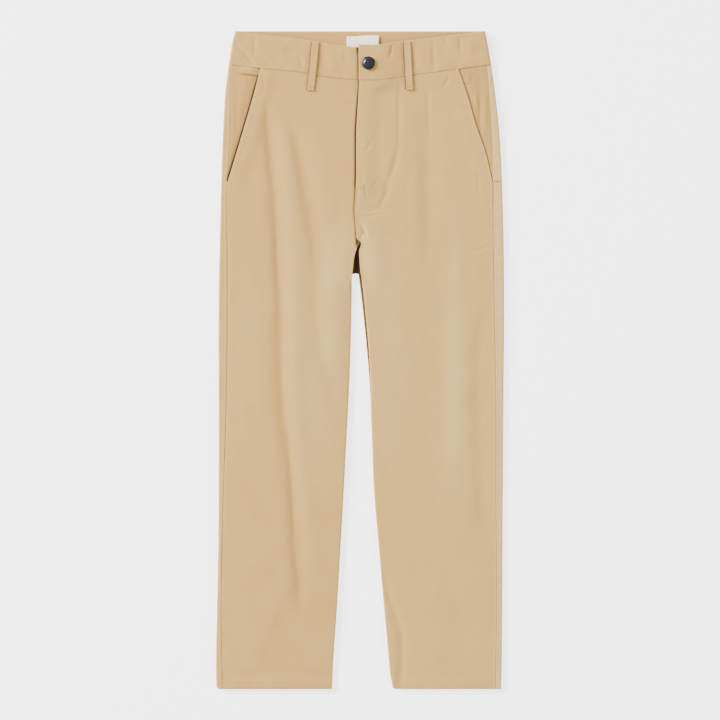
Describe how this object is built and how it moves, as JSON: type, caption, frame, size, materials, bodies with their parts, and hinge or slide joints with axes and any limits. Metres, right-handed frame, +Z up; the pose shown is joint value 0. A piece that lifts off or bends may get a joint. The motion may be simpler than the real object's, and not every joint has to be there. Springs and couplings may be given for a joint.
{
  "type": "chino trousers",
  "caption": "Child's chino trousers in beige cotton twill, laid flat with the front up: slanted pockets, belt loops, buttoned waistband and fly.",
  "frame": {"origin": "middle of the laid garment's box, on the surface it lies on", "axes": "+Z up from the surface to the garment's front, +Y from the hems to the waist, +X towards the wearer's left leg"},
  "size_m": [0.3314, 0.7564, 0.0114],
  "materials": {
    "twill": "beige cotton twill, garment washed, matt",
    "ribbon": "cream woven ribbon, matt",
    "resin": "navy polyester resin, turned and polished"
  },
  "bodies": {
    "root": {"back_right": "twill", "back_left": "twill", "front_right": "twill", "front_left": "twill", "pocket_facing_right": "twill", "pocket_facing_left": "twill", "waistband_right": "twill", "waistband_left": "twill", "belt_loop_right": "twill", "belt_loop_left": "twill", "label": "ribbon", "button": "resin"}
  },
  "joints": []
}
